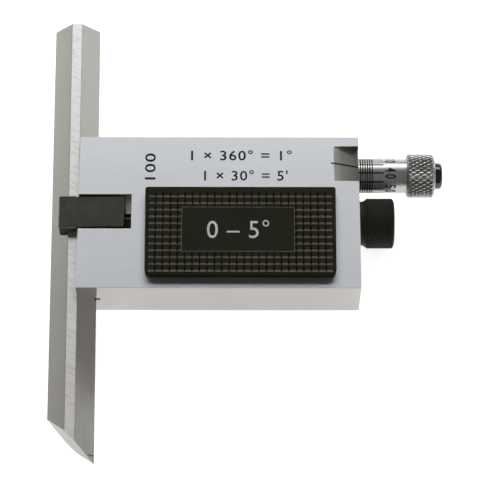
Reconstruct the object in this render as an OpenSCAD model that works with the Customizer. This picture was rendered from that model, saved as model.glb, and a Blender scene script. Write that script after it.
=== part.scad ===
// Adjustable square: a double knife-edge blade is drawn into the grooved end of a ground stock
// by a clamp yoke, and a micrometer screw tilts it one degree a turn about the groove's lower edge.
// Millimetres. The square lies on its back pad: X runs along the stock towards the dial,
// Y along the blade towards its square end, Z out of the front face.
// The origin is the centre of the back pad's outer face.

/* [Stock] */
// Length of the stock from its grooved end to its dial end
stock_l = 59.2; // [57:0.1:75]
// Height of the stock between its two reference faces
stock_h = 35; // [34:0.5:45]
// Thickness of the stock
stock_t = 12; // [11.5:0.1:15]

/* [Blade] */
// Length of the blade along its inner knife edge
blade_l = 100.4; // [85:0.1:140]
// Width of the blade from knife edge to knife edge
blade_w = 9.75; // [9.4:0.05:10.2]
// Width of the flat along the front and the back of the blade
blade_flat = 2.1; // [1.9:0.05:2.8]
// Height of the blade's square end above the stock
blade_rise = 28.9; // [15:0.1:40]
// Angle of the slanted lower end to the blade's length
blade_cut = 45; // [35:1:60]
// Depth of the inner knife edge in the stock's grooved end
blade_seat = 3.98; // [3.8:0.01:4.2]
// Tilt of the blade that the dial shows, in minutes of arc
tilt_minutes = 40; // [0:5:60]
// Largest tilt of the blade, in degrees
tilt_max = 5; // [3:0.5:5]

/* [Groove] */
// Height of the fulcrum above the lower face
fulcrum_rise = 0.1; // [0.05:0.05:0.4]
// Height of the land that carries the blade
land_h = 1.2; // [0.8:0.1:3]
// Clearance between the blade and the land
seat_gap = 0.02; // [0.01:0.01:0.05]
// Clearance of the groove above the land
groove_gap = 0.15; // [0.1:0.01:0.3]
// Width of the relief slit along the bottom of the groove
slit_w = 0.85; // [0.5:0.05:1.2]
// Depth of the relief slit
slit_depth = 0.65; // [0.3:0.05:1]

/* [Clamp] */
// Height of the clamp slot
slot_h = 7.9; // [7.8:0.1:9]
// Length of the clamp slot
slot_l = 11.15; // [10.8:0.05:13]
// Height of the yoke inside the slot
yoke_h = 6.9; // [6.6:0.1:7]
// Height of the yoke's hooked head outside the slot
head_h = 7.5; // [7:0.1:8.6]
// Room between the hooked head and the stock's grooved end
head_gap = 0.45; // [0.4:0.05:0.6]
// Reach of the yoke's hooks past the stock's grooved end
yoke_reach = 4.15; // [3.2:0.05:4.7]
// Length of the yoke inside the slot
yoke_tail = 9.66; // [9.2:0.02:10]
// Depth of the yoke's faces below the stock's faces
yoke_drop = 0.3; // [0.1:0.05:0.6]
// Height of the yoke's middle above the rod's axis
yoke_lift = 0.1; // [0:0.05:0.15]
// Clearance between the yoke's hooks and the blade
hook_gap = 0.03; // [0.02:0.01:0.08]
// Room between the yoke and the blade's inner bevels
yoke_relief = 0.25; // [0.1:0.05:0.4]
// Distance of the yoke's pin from the stock's grooved end
pin_x = 6.6; // [6.4:0.05:7]
// Diameter of the yoke's pin
pin_d = 1.6; // [1.2:0.1:1.8]
// Metal left over the pin at the yoke's front
pin_cover = 1.2; // [0.6:0.1:2]
// Diameter of the draw rod
rod_d = 4; // [3.5:0.1:4.2]
// Length of the draw rod past its pin
rod_nose = 1.6; // [1.4:0.05:1.8]
// Length of the draw rod past the stock's dial end
rod_tail = 5.6; // [4:0.1:6]

/* [Spring] */
// Diameter of the spring's wire
wire_d = 0.7; // [0.5:0.05:0.8]
// Depth of the spring's bore in the dial end
spring_bore_l = 12; // [9:0.5:18]
// Thickness of the rod's collar
collar_l = 1.2; // [0.8:0.1:2]
// Depth of the collar below the dial end
collar_inset = 1.2; // [0.6:0.1:2]
// Turns of the spring
spring_turns = 6; // [4:1:8]
// Clearance on each side of the spring's wire
spring_gap = 0.35; // [0.2:0.05:0.5]

/* [Knob] */
// Diameter of the clamp knob
knob_d = 10.6; // [10:0.1:11.5]
// Length of the clamp knob
knob_l = 6.5; // [6.2:0.1:9]
// Chamfer of the clamp knob's edges
knob_chamfer = 0.5; // [0.2:0.05:0.8]
// Thickness of the knob's thrust ring
ring_l = 1; // [0.6:0.05:1.5]
// Diameter of the knob's thrust ring
ring_d = 9.55; // [9:0.05:10]
// Diameter of the knob's threaded insert
insert_d = 7; // [6.4:0.1:7.4]
// Length of the knob's threaded insert inside the knob
insert_l = 5; // [4.5:0.1:5.4]
// Length of the insert's nose in the thrust ring
insert_nose = 0.8; // [0.4:0.05:0.9]

/* [Micrometer] */
// Depth of the micrometer's axis below the upper face
axis_drop = 6.25; // [6:0.05:7]
// Diameter of the graduated sleeve
sleeve_d = 7.3; // [7:0.05:7.4]
// Wall of the graduated sleeve
sleeve_wall = 0.6; // [0.4:0.05:0.7]
// Length of the sleeve between the stock and the knurled grip
sleeve_out = 10.38; // [8:0.02:14]
// Length of the sleeve inside the stock
sleeve_in = 1.5; // [1:0.1:2.5]
// Thickness of the sleeve's end wall inside the grip
sleeve_floor = 4.98; // [3:0.02:5.5]
// Length of the sleeve past the grip
sleeve_tail = 0.24; // [0.1:0.02:0.6]
// Diameter of the knurled grip
grip_d = 9.3; // [8.8:0.1:11]
// Length of the knurled grip
grip_l = 5.78; // [5:0.02:9]
// Chamfer of the knurled grip
grip_chamfer = 0.45; // [0.2:0.05:0.7]
// Diameter of the end cap
cap_d = 5.6; // [5:0.1:7]
// Thickness of the end cap
cap_l = 1.62; // [1:0.02:3]
// Diameter of the end cap's stud
stud_d = 1.6; // [1.2:0.1:1.8]
// Length of the end cap's stud
stud_l = 3; // [2:0.1:4]
// Diameter of the micrometer screw
spindle_d = 4; // [3.6:0.1:4.1]
// Diameter of the screw's tail in the sleeve's end wall
tail_d = 3; // [2.6:0.1:3.4]
// Diameter of the threaded bush
bush_d = 6.5; // [6:0.1:6.8]
// Length of the threaded bush
bush_l = 12; // [8:0.5:18]
// Diameter of the bush's split nose
nose_d = 5; // [4.7:0.05:5.2]
// Length of the bush's split nose
nose_l = 8; // [6:0.1:9]
// Thickness of the adjusting nut
nut_l = 1.6; // [1:0.1:2.5]
// Wall of the adjusting nut
nut_wall = 0.4; // [0.25:0.05:0.45]
// Diameter of the thrust shoe
shoe_d = 4.4; // [4.3:0.05:4.8]
// Length of the thrust shoe behind the blade's edge
shoe_l = 10.4; // [9.6:0.1:12]
// Length of the thrust shoe's horns in front of the blade's edge
horn_l = 1.8; // [1.2:0.05:1.9]
// Height of the thrust shoe's tip
tip_h = 1; // [0.7:0.05:1.2]
// Length of the thrust shoe's tip behind the blade's edge
tip_l = 1.2; // [0.8:0.05:2]
// Clearance between the thrust shoe and the blade
shoe_gap = 0.05; // [0.04:0.01:0.1]
// Diameter of the thrust ball
ball_d = 3; // [2.4:0.1:3.4]
// Height of the ball's middle above the shoe's end
ball_out = 0.6; // [0.3:0.05:1]

/* [Index recess] */
// Length of the sloped recess under the index line
ramp_l = 5.3; // [4:0.1:7]
// Width of the sloped recess
ramp_w = 8.14; // [7:0.02:9]
// Depth of the sloped recess at the dial end
ramp_depth = 2.05; // [1:0.05:2.1]

/* [Grub screws] */
// Diameter of the grub screws
grub_d = 2.5; // [2:0.1:3]
// Length of the grub screws' threaded part
grub_l = 2.4; // [1.6:0.1:2.6]
// Size of the grub screws' hexagon socket across its corners
socket_d = 1.5; // [1:0.1:1.7]
// Depth of the grub screws' hexagon socket
socket_l = 1.1; // [0.6:0.1:1.4]
// Diameter of the grub screws' plain points
dog_d = 1.2; // [0.8:0.05:1.5]
// Distance of the shoe's guide screw from the grooved end
guide_x = 10; // [9.6:0.1:10.6]
// Depth of the keyway in the thrust shoe
key_depth = 0.8; // [0.5:0.05:1]
// Depth of the dimple in the threaded bush
dimple_l = 0.4; // [0.2:0.05:0.6]

/* [Grip pads] */
// Length of a grip pad
pad_l = 40; // [34:0.1:42]
// Height of a grip pad
pad_h = 20; // [17:0.05:22]
// Thickness of a grip pad with its field
pad_t = 2.3; // [1.8:0.05:3.8]
// Distance of the grip pad from the stock's grooved end
pad_x = 14.1; // [13:0.05:16]
// Distance of the grip pad from the lower face
pad_y = 2.4; // [0.5:0.05:4]
// Corner radius of a grip pad
pad_r = 1; // [0.5:0.05:2]
// Width of the smooth rim round the field
rim_w = 0.7; // [0.4:0.05:1.2]
// Height of the field above the rim
field_h = 0.35; // [0.3:0.05:0.9]
// Length of a label plate
label_l = 23.7; // [18:0.1:28]
// Height of a label plate
label_h = 10.36; // [8:0.02:13]
// Thickness of a label plate
label_t = 0.6; // [0.4:0.05:1]
// Offset of a label plate along the stock from the pad's middle
label_dx = -0.5; // [-2:0.1:2]
// Offset of a label plate upwards from the pad's middle
label_dy = 0; // [-1.5:0.1:1.5]

/* [Fits] */
// Radial clearance of turning and sliding fits
run_gap = 0.05; // [0.03:0.01:0.08]
// Radial clearance of the sleeve in the stock
sleeve_gap = 0.1; // [0.08:0.01:0.12]
// Radial clearance of fixed fits
fix_gap = 0.01; // [0.005:0.005:0.02]
// Free room at the end of a travel
end_room = 0.3; // [0.2:0.05:0.5]

/* [Hidden] */
$fn = 64;
over = 1;
tilt = tilt_minutes / 60;
half_t = stock_t / 2;
bevel = (blade_w - blade_flat) / 2;
rod_y = stock_h / 2;
axis_y = stock_h - axis_drop;
lever_arm = axis_y - fulcrum_rise;
// The thread moves the blade one degree a turn
thread_pitch = lever_arm * tan(1);
travel_in = (tilt_max - tilt) * thread_pitch;
travel_out = tilt * thread_pitch;
// Inner knife edge seen from the yoke's pin and on the micrometer's axis
pin_to_edge = (pin_x - blade_seat) * cos(tilt) + (rod_y - fulcrum_rise) * sin(tilt);
edge_x = blade_seat - lever_arm * tan(tilt);
yoke_z = half_t - yoke_drop;
mortise_h = rod_d + 2 * ((yoke_tail - pin_x) * tan(tilt_max) + 2 * run_gap);
mortise_l = rod_nose + rod_d / 2 * sin(tilt_max) + 2 * run_gap;
spring_bore_d = rod_d + 2 * wire_d + 4 * spring_gap;
collar_d = spring_bore_d - 2 * end_room;
collar_x = stock_l - collar_inset - collar_l;
sleeve_bore_l = sleeve_in + travel_in + end_room;
bush_x = stock_l - sleeve_bore_l - bush_l;
sleeve_end = stock_l + sleeve_out + grip_l + sleeve_tail;
sleeve_hollow_l = sleeve_in + sleeve_out + grip_l - sleeve_floor;
shoe_x = edge_x + shoe_l;
ball_x = shoe_x + ball_out;
spindle_x = ball_x + ball_d / 2 + seat_gap;
spindle_shoulder = stock_l - sleeve_in + sleeve_hollow_l;
knob_x = stock_l + ring_l;
nut_x = bush_x + bush_l + nose_l - nut_l;
lock_x = bush_x + bush_l / 2;
pad_cx = pad_x + pad_l / 2;
pad_cy = pad_y + pad_h / 2;
steel = [0.80, 0.81, 0.83];
dark_steel = [0.45, 0.45, 0.46];
blade_steel = [0.72, 0.71, 0.68];
oxide = [0.23, 0.24, 0.22];
black = [0.10, 0.10, 0.10];

// From the stock's lower grooved corner on its mid-plane to the part's frame
module in_place() translate([-pad_cx, -pad_cy, half_t + pad_t]) children();
// From the part's own X axis to an axis along the stock at a height above the lower face
module along_x(x, y) translate([x, y, 0]) rotate([0, 90, 0]) children();
module on_tilt(x, y) translate([x, y, 0]) rotate([0, 0, tilt]) children();
// A flat outline in X and Z drawn out along Y
module along_y(low, high) {
    translate([0, high, 0]) rotate([90, 0, 0]) linear_extrude(high - low) children();
}

module rod_along_x(x, y, d, l) along_x(x, y) cylinder(d = d, h = l);

// Section of the blade, grown on every side, with its inner knife edge at zero
module blade_section(grow) {
    tip = grow * sqrt(2);
    corner = bevel - grow * (sqrt(2) - 1);
    polygon([[tip, 0], [-corner, bevel + grow], [corner - blade_w, bevel + grow], [-blade_w - tip, 0],
        [corner - blade_w, -bevel - grow], [-corner, -bevel - grow]]);
}

module groove_section(gap) {
    apex = blade_seat + gap * sqrt(2);
    polygon([[apex, 0], [-over, apex + over], [-over, -apex - over]]);
}

// A plate with round corners, its lower face at zero
module rounded_plate(l, h, t, r) {
    translate([-l / 2 + r, -h / 2, 0]) cube([l - 2 * r, h, t]);
    translate([-l / 2, -h / 2 + r, 0]) cube([l, h - 2 * r, t]);
    for (x = [-1, 1], y = [-1, 1])
        translate([x * (l / 2 - r), y * (h / 2 - r), 0]) cylinder(r = r, h = t);
}

// Grub screw in the back face with its plain point towards the mid-plane
module grub_screw(x, point_z) {
    translate([x, axis_y, -half_t]) difference() {
        union() {
            cylinder(d = grub_d, h = grub_l);
            cylinder(d = dog_d, h = point_z + half_t);
        }
        translate([0, 0, -over]) cylinder(d = socket_d, h = socket_l + over, $fn = 6);
    }
}

module grub_hole(x) translate([x, axis_y, -half_t - over]) {
    cylinder(d = grub_d + 2 * fix_gap, h = grub_l + over + fix_gap);
    cylinder(d = dog_d + 2 * run_gap, h = half_t + over);
}

module stock_block() {
    color(steel) in_place() difference() {
        translate([0, 0, -half_t]) cube([stock_l, stock_h, stock_t]);
        along_y(-over, land_h) groove_section(seat_gap);
        along_y(land_h, stock_h + over) groove_section(groove_gap);
        translate([0, -over, -slit_w / 2])
            cube([blade_seat + groove_gap + slit_depth, stock_h + 2 * over, slit_w]);
        translate([-over, rod_y - slot_h / 2, -half_t - over])
            cube([slot_l + over, slot_h, stock_t + 2 * over]);
        rod_along_x(slot_l - over, rod_y, rod_d + 2 * run_gap, stock_l - slot_l + 2 * over);
        rod_along_x(stock_l - spring_bore_l, rod_y, spring_bore_d, spring_bore_l + over);
        rod_along_x(0, axis_y, shoe_d + 2 * run_gap, bush_x + over);
        rod_along_x(bush_x, axis_y, bush_d + 2 * fix_gap, bush_l + over);
        rod_along_x(stock_l - sleeve_bore_l, axis_y, sleeve_d + 2 * sleeve_gap, sleeve_bore_l + over);
        grub_hole(guide_x);
        grub_hole(lock_x);
        index_recess();
    }
}

module index_recess() {
    slope = ramp_depth / ramp_l;
    start_x = stock_l - ramp_l - over;
    end_x = stock_l + over;
    along_y(axis_y - ramp_w / 2, axis_y + ramp_w / 2)
        polygon([[start_x, half_t + slope * over], [end_x, half_t - ramp_depth - slope * over],
            [end_x, half_t + 2 * over], [start_x, half_t + 2 * over]]);
}

// Grip pad with its seat at zero and its field on top
module grip_pad() {
    difference() {
        union() {
            rounded_plate(pad_l, pad_h, pad_t - field_h, pad_r);
            rounded_plate(pad_l - 2 * rim_w, pad_h - 2 * rim_w, pad_t, pad_r / 2);
        }
        translate([label_dx, label_dy, pad_t - label_t])
            translate([-label_l / 2, -label_h / 2, 0]) cube([label_l, label_h, label_t + over]);
    }
}

module label_plate() {
    translate([label_dx, label_dy, pad_t - label_t])
        translate([-label_l / 2 + fix_gap, -label_h / 2 + fix_gap, 0])
            cube([label_l - 2 * fix_gap, label_h - 2 * fix_gap, label_t]);
}

module on_front() in_place() translate([pad_cx, pad_cy, half_t]) children();
module on_back() in_place() translate([pad_cx, pad_cy, -half_t]) mirror([0, 0, 1]) children();
module front_grip_pad() color(black) on_front() grip_pad();
module back_grip_pad() color(black) on_back() grip_pad();
module front_label_plate() color(black) on_front() label_plate();
module back_label_plate() color(black) on_back() label_plate();

module spindle_bush() {
    color(dark_steel) in_place() difference() {
        union() {
            rod_along_x(bush_x, axis_y, bush_d, bush_l);
            rod_along_x(bush_x, axis_y, nose_d, bush_l + nose_l);
        }
        rod_along_x(bush_x - over, axis_y, spindle_d + 2 * run_gap, bush_l + nose_l + 2 * over);
        translate([lock_x, axis_y, -bush_d / 2 - over])
            cylinder(d = dog_d + 2 * run_gap, h = dimple_l + over);
    }
}

module adjusting_nut() {
    color(dark_steel) in_place() difference() {
        rod_along_x(nut_x, axis_y, nose_d + 2 * nut_wall, nut_l);
        rod_along_x(nut_x - over, axis_y, nose_d + 2 * fix_gap, nut_l + 2 * over);
    }
}

module bush_lock_screw() {
    color(dark_steel) in_place() grub_screw(lock_x, -bush_d / 2 + dimple_l - run_gap);
}

module shoe_guide_screw() {
    color(dark_steel) in_place() grub_screw(guide_x, -shoe_d / 2 + key_depth - run_gap);
}

// Points of one turn of wire round the rod, and the skin between the turns' sections
spring_sides = 8;
spring_steps = 18;
function spring_ring(i, n, x0, x1, r) = [for (j = [0:spring_sides - 1])
    let (a = 360 * spring_turns * i / n, b = 360 * j / spring_sides, out = r + wire_d / 2 * cos(b))
        [x0 + (x1 - x0) * i / n + wire_d / 2 * sin(b), out * cos(a), out * sin(a)]];
function spring_skin(n) = [for (i = [0:n - 1], j = [0:spring_sides - 1])
    let (k = (j + 1) % spring_sides)
        [i * spring_sides + j, (i + 1) * spring_sides + j, (i + 1) * spring_sides + k, i * spring_sides + k]];

module draw_spring() {
    n = spring_turns * spring_steps;
    low = stock_l - spring_bore_l + wire_d / 2 + seat_gap;
    high = collar_x - wire_d / 2 - seat_gap;
    mean_r = (rod_d / 2 + spring_bore_d / 2) / 2;
    rings = [for (i = [0:n]) each spring_ring(i, n, low, high, mean_r)];
    first = [for (j = [0:spring_sides - 1]) j];
    last = [for (j = [spring_sides - 1:-1:0]) n * spring_sides + j];
    color(dark_steel) in_place() translate([0, rod_y, 0])
        polyhedron(rings, concat(spring_skin(n), [first, last]));
}

module draw_rod() {
    color(steel) in_place() difference() {
        union() {
            rod_along_x(pin_x - rod_nose, rod_y, rod_d, stock_l + rod_tail - pin_x + rod_nose);
            rod_along_x(collar_x, rod_y, collar_d, collar_l);
        }
        translate([pin_x, rod_y, -rod_d]) cylinder(d = pin_d + 2 * run_gap, h = 2 * rod_d);
    }
}

module clamp_yoke() {
    hook_x = -pin_x - yoke_reach;
    color(oxide) in_place() on_tilt(pin_x, rod_y) difference() {
        translate([hook_x, yoke_lift, -yoke_z]) {
            translate([0, -yoke_h / 2, 0]) cube([yoke_tail + yoke_reach, yoke_h, 2 * yoke_z]);
            translate([0, -head_h / 2, 0]) cube([yoke_reach - head_gap, head_h, 2 * yoke_z]);
        }
        for (shift = [0, yoke_relief])
            translate([shift - pin_to_edge, 0, 0]) along_y(-head_h, head_h) blade_section(hook_gap);
        translate([-mortise_l, -mortise_h / 2, -rod_d / 2 - run_gap])
            cube([mortise_l + yoke_tail, mortise_h, rod_d + 2 * run_gap]);
        translate([0, 0, -yoke_z - over])
            cylinder(d = pin_d + 2 * fix_gap, h = 2 * yoke_z + over - pin_cover);
    }
}

module yoke_pin() {
    color(dark_steel) in_place() translate([pin_x, rod_y, -yoke_z + end_room])
        cylinder(d = pin_d, h = 2 * yoke_z - end_room - pin_cover);
}

module blade() {
    top = (stock_h + blade_rise - fulcrum_rise) / cos(tilt);
    cut = 3 * blade_w;
    color(blade_steel) in_place() on_tilt(blade_seat, fulcrum_rise) difference() {
        along_y(top - blade_l, top) blade_section(0);
        translate([0, top - blade_l, 0]) rotate([0, 0, -blade_cut])
            translate([-cut, -cut, -blade_w]) cube([2 * cut, cut, 2 * blade_w]);
    }
}

module thrust_shoe() {
    color(steel) in_place() difference() {
        rod_along_x(edge_x - horn_l, axis_y, shoe_d, horn_l + shoe_l);
        on_tilt(edge_x, axis_y) along_y(-shoe_d, shoe_d) blade_section(shoe_gap);
        for (low = [tip_h / 2, -tip_h / 2 - shoe_d])
            translate([edge_x - horn_l - over, axis_y + low, -shoe_d])
                cube([horn_l + tip_l + over, shoe_d, 2 * shoe_d]);
        keyway();
        translate([ball_x, axis_y, 0]) sphere(d = ball_d + 2 * fix_gap);
    }
}

module keyway() {
    low = guide_x - dog_d / 2 - travel_out - end_room;
    high = guide_x + dog_d / 2 + travel_in + end_room;
    translate([low, axis_y - dog_d / 2 - run_gap, -shoe_d / 2 - over])
        cube([high - low, dog_d + 2 * run_gap, key_depth + over]);
}

module thrust_ball() color(steel) in_place() translate([ball_x, axis_y, 0]) sphere(d = ball_d);

module spindle() {
    color(steel) in_place() difference() {
        union() {
            rod_along_x(spindle_x, axis_y, spindle_d, spindle_shoulder - spindle_x);
            rod_along_x(spindle_x, axis_y, tail_d, sleeve_end - end_room - spindle_x);
        }
        rod_along_x(sleeve_end - stud_l - end_room, axis_y, stud_d + 2 * fix_gap, stud_l + end_room + over);
    }
}

module thimble_sleeve() {
    low = stock_l - sleeve_in;
    color(steel) in_place() difference() {
        rod_along_x(low, axis_y, sleeve_d, sleeve_end - low);
        rod_along_x(low - over, axis_y, sleeve_d - 2 * sleeve_wall, sleeve_hollow_l + over);
        rod_along_x(low, axis_y, tail_d + 2 * fix_gap, sleeve_end - low + over);
    }
}

module thimble_grip() {
    r = grip_d / 2;
    bore = sleeve_d / 2 + fix_gap;
    color(dark_steel) in_place() along_x(stock_l + sleeve_out, axis_y) rotate_extrude()
        polygon([[bore, 0], [r - grip_chamfer, 0], [r, grip_chamfer], [r, grip_l - grip_chamfer],
            [r - grip_chamfer, grip_l], [bore, grip_l]]);
}

module thimble_cap() {
    color(black) in_place() {
        rod_along_x(sleeve_end, axis_y, cap_d, cap_l);
        rod_along_x(sleeve_end - stud_l, axis_y, stud_d, stud_l + cap_l / 2);
    }
}

module knob_thrust_ring() {
    color(black) in_place() difference() {
        rod_along_x(stock_l, rod_y, ring_d, ring_l);
        rod_along_x(stock_l - over, rod_y, insert_d + 2 * run_gap, ring_l + 2 * over);
    }
}

module clamp_knob() {
    r = knob_d / 2;
    bore = insert_d / 2 + fix_gap;
    color(black) in_place() along_x(knob_x, rod_y) rotate_extrude()
        polygon([[bore, 0], [r - knob_chamfer, 0], [r, knob_chamfer], [r, knob_l - knob_chamfer],
            [r - knob_chamfer, knob_l], [0, knob_l], [0, insert_l + fix_gap], [bore, insert_l + fix_gap]]);
}

module knob_insert() {
    color(dark_steel) in_place() difference() {
        rod_along_x(knob_x - insert_nose, rod_y, insert_d, insert_nose + insert_l);
        rod_along_x(knob_x - insert_nose - over, rod_y, rod_d + 2 * run_gap,
            insert_nose + insert_l + 2 * over);
    }
}

stock_block();
front_grip_pad();
back_grip_pad();
front_label_plate();
back_label_plate();
spindle_bush();
adjusting_nut();
bush_lock_screw();
shoe_guide_screw();
draw_spring();
draw_rod();
clamp_yoke();
yoke_pin();
blade();
thrust_shoe();
thrust_ball();
spindle();
thimble_sleeve();
thimble_grip();
thimble_cap();
knob_thrust_ring();
clamp_knob();
knob_insert();
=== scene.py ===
# Adjustable square: the looks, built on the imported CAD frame. Sizes in the dictionaries are millimetres.
import math

import bmesh
import bpy
from mathutils import Matrix, Vector


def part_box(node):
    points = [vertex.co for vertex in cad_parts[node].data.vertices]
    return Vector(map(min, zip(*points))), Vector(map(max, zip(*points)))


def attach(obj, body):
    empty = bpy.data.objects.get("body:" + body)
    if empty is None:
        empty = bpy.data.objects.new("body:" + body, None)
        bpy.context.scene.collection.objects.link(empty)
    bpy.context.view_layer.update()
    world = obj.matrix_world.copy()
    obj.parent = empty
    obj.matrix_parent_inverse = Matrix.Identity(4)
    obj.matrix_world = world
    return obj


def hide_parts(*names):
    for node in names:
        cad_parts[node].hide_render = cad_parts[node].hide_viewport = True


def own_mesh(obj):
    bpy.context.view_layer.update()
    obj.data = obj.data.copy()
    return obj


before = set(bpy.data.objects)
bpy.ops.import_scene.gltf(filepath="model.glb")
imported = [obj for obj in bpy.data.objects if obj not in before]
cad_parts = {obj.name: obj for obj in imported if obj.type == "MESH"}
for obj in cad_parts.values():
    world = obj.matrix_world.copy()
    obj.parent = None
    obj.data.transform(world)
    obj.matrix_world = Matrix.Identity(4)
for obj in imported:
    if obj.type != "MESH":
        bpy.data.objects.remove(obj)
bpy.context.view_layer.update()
scene = bpy.context.scene
mm = 0.001
print("frame loaded:", len(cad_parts), "nodes")

# Camera at the photograph's angle
cameraSetup = {
    "target": (0.972, 0.074, 8.3),  # shown in the middle of the picture
    "tilt": 24.37,                  # degrees away from straight above
    "yaw": 0.196,                   # degrees
    "distance": 506.4,
    "lens": 175.9,
    "sensor": 36.0,
}


def placeCamera(setup):
    data = bpy.data.cameras.new("photoCamera")
    data.lens = setup["lens"]
    data.sensor_width = setup["sensor"]
    data.clip_start = 0.01
    camera = bpy.data.objects.new("photoCamera", data)
    camera.rotation_euler = (math.radians(setup["tilt"]), -math.radians(setup["yaw"]), 0)
    away = camera.rotation_euler.to_matrix() @ Vector((0, 0, setup["distance"]))
    camera.location = (Vector(setup["target"]) + away) * mm
    scene.collection.objects.link(camera)
    scene.camera = camera


placeCamera(cameraSetup)
scene.view_settings.view_transform = "Standard"
print("camera placed")


# Finishes: every one mixes a fine grain with slow clouds, in colour, roughness and bump.
# Some also carry painted light and shade, lighter or darker along an axis, or slanted grinding strokes.
noiseSpec = {
    "grainDetail": 3,
    "cloudDetail": 4,
    "strokeDetail": 3,
    "sumSpan": (0.7, 1.3),  # where the sum of two noises mostly lies
}


def addNoise(tree, coords, stretch, detail, kind="POINT", turn=0):
    mapping = tree.nodes.new("ShaderNodeMapping")
    mapping.vector_type = kind
    mapping.inputs["Rotation"].default_value = (0, 0, math.radians(turn))
    mapping.inputs["Scale"].default_value = stretch
    noise = tree.nodes.new("ShaderNodeTexNoise")
    noise.inputs["Scale"].default_value = 1
    noise.inputs["Detail"].default_value = detail
    tree.links.new(coords.outputs["Object"], mapping.inputs["Vector"])
    tree.links.new(mapping.outputs["Vector"], noise.inputs["Vector"])
    return noise.outputs[0]


def addRange(tree, value, fromSpan, toSpan):
    node = tree.nodes.new("ShaderNodeMapRange")
    node.inputs["From Min"].default_value = fromSpan[0]
    node.inputs["From Max"].default_value = fromSpan[1]
    node.inputs["To Min"].default_value = toSpan[0]
    node.inputs["To Max"].default_value = toSpan[1]
    tree.links.new(value, node.inputs["Value"])
    return node.outputs["Result"]


def addMean(tree, first, second):
    node = tree.nodes.new("ShaderNodeMath")
    node.operation = "ADD"
    tree.links.new(first, node.inputs[0])
    tree.links.new(second, node.inputs[1])
    return addRange(tree, node.outputs[0], noiseSpec["sumSpan"], (0, 1))


def addRamp(tree, value, stops):
    node = tree.nodes.new("ShaderNodeValToRGB")
    while len(node.color_ramp.elements) < len(stops):
        node.color_ramp.elements.new(0.5)
    for element, (place, colour) in zip(node.color_ramp.elements, stops):
        element.position = place
        element.color = (*colour, 1)
    tree.links.new(value, node.inputs["Fac"])
    return node.outputs["Color"]


def addFade(tree, colour, measure, stops):
    mix = tree.nodes.new("ShaderNodeMixRGB")
    mix.blend_type = "MULTIPLY"
    mix.inputs["Fac"].default_value = 1
    tree.links.new(colour, mix.inputs["Color1"])
    tree.links.new(addRamp(tree, measure, stops), mix.inputs["Color2"])
    return mix.outputs["Color"]


def addAlong(tree, coords, axis, span):
    parts = tree.nodes.new("ShaderNodeSeparateXYZ")
    tree.links.new(coords.outputs["Object"], parts.inputs[0])
    return addRange(tree, parts.outputs[axis], (span[0] * mm, span[1] * mm), (0, 1))


def addBump(tree, height, distance, under):
    node = tree.nodes.new("ShaderNodeBump")
    node.inputs["Strength"].default_value = 1
    node.inputs["Distance"].default_value = distance * mm
    tree.links.new(height, node.inputs["Height"])
    if under:
        tree.links.new(under, node.inputs["Normal"])
    return node.outputs["Normal"]


def layeredFinish(name, look):
    finish = bpy.data.materials.new(name)
    finish.use_nodes = True
    tree = finish.node_tree
    shader = tree.nodes["Principled BSDF"]
    shader.inputs["Metallic"].default_value = look["metal"]
    shader.inputs["Specular IOR Level"].default_value = look.get("gloss", 0.5)
    coords = tree.nodes.new("ShaderNodeTexCoord")
    grain = addNoise(tree, coords, look["grain"], noiseSpec["grainDetail"])
    cloud = addNoise(tree, coords, look["cloud"], noiseSpec["cloudDetail"])
    mixed = addMean(tree, grain, cloud)
    colour = addRamp(tree, mixed, [(0, look["dark"]), (1, look["light"])])
    # painted light and shade: the colour grows lighter or darker along one axis
    if "paintedShading" in look:
        axis, span, stops = look["paintedShading"]
        colour = addFade(tree, colour, addAlong(tree, coords, axis, span), stops)
    if "strokes" in look:
        turn, size, stops = look["strokes"]
        size = [side * mm for side in size]
        strokes = addNoise(tree, coords, size, noiseSpec["strokeDetail"], "TEXTURE", turn)
        colour = addFade(tree, colour, strokes, stops)
    tree.links.new(colour, shader.inputs["Base Color"])
    rough = addRange(tree, mixed, (0, 1), look["rough"])
    tree.links.new(rough, shader.inputs["Roughness"])
    waves = addBump(tree, cloud, look["cloudBump"], None)
    fine = addBump(tree, grain, look["grainBump"], waves)
    tree.links.new(fine, shader.inputs["Normal"])
    return finish


# Mesh helpers shared by the pieces
meshSpec = {
    "coarseMerge": 0.002,
    "merge": 0.001,
    "cut": 0.0005,  # a vertex this near to a plane is on it
    "flat": 1,      # degrees, faces flatter than this become one
    "outer": 30,    # degrees, an edge sharper than this is an outer edge
}


def savePiece(bm, name, finishes, body, stands=(), crease=21):
    for face in bm.faces:
        face.smooth = True
    for edge in bm.edges:
        if len(edge.link_faces) == 2 and edge.calc_face_angle(0) > math.radians(crease):
            edge.smooth = False
    mesh = bpy.data.meshes.new(name)
    bm.to_mesh(mesh)
    bm.free()
    for finish in finishes:
        mesh.materials.append(finish)
    piece = bpy.data.objects.new(name, mesh)
    scene.collection.objects.link(piece)
    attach(piece, body)
    if stands:
        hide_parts(*stands)
    print("made", name, len(mesh.polygons), "faces")
    return piece


def cadShell(node):
    bm = bmesh.new()
    bm.from_mesh(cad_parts[node].data)
    bmesh.ops.remove_doubles(bm, verts=bm.verts, dist=meshSpec["coarseMerge"] * mm)
    flat = math.radians(meshSpec["flat"])
    bmesh.ops.dissolve_limit(bm, angle_limit=flat, verts=bm.verts, edges=bm.edges)
    return bm


def bevelEdges(bm, edges, width, segments=1, material=None):
    made = bmesh.ops.bevel(bm, geom=edges, offset=width * mm, offset_type="OFFSET",
                           segments=segments, profile=0.5, affect="EDGES", material=-1,
                           clamp_overlap=False)
    if material is not None:
        for face in made["faces"]:
            face.material_index = material


def outerEdges(bm, shortest):
    sharp = math.radians(meshSpec["outer"])
    return [e for e in bm.edges
            if e.calc_length() > shortest * mm and e.calc_face_angle_signed(0) > sharp]


def edgeTall(edge):
    return abs(edge.verts[0].co.z - edge.verts[1].co.z)


def vertsOf(geom):
    return [g for g in geom if isinstance(g, bmesh.types.BMVert)]


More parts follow.
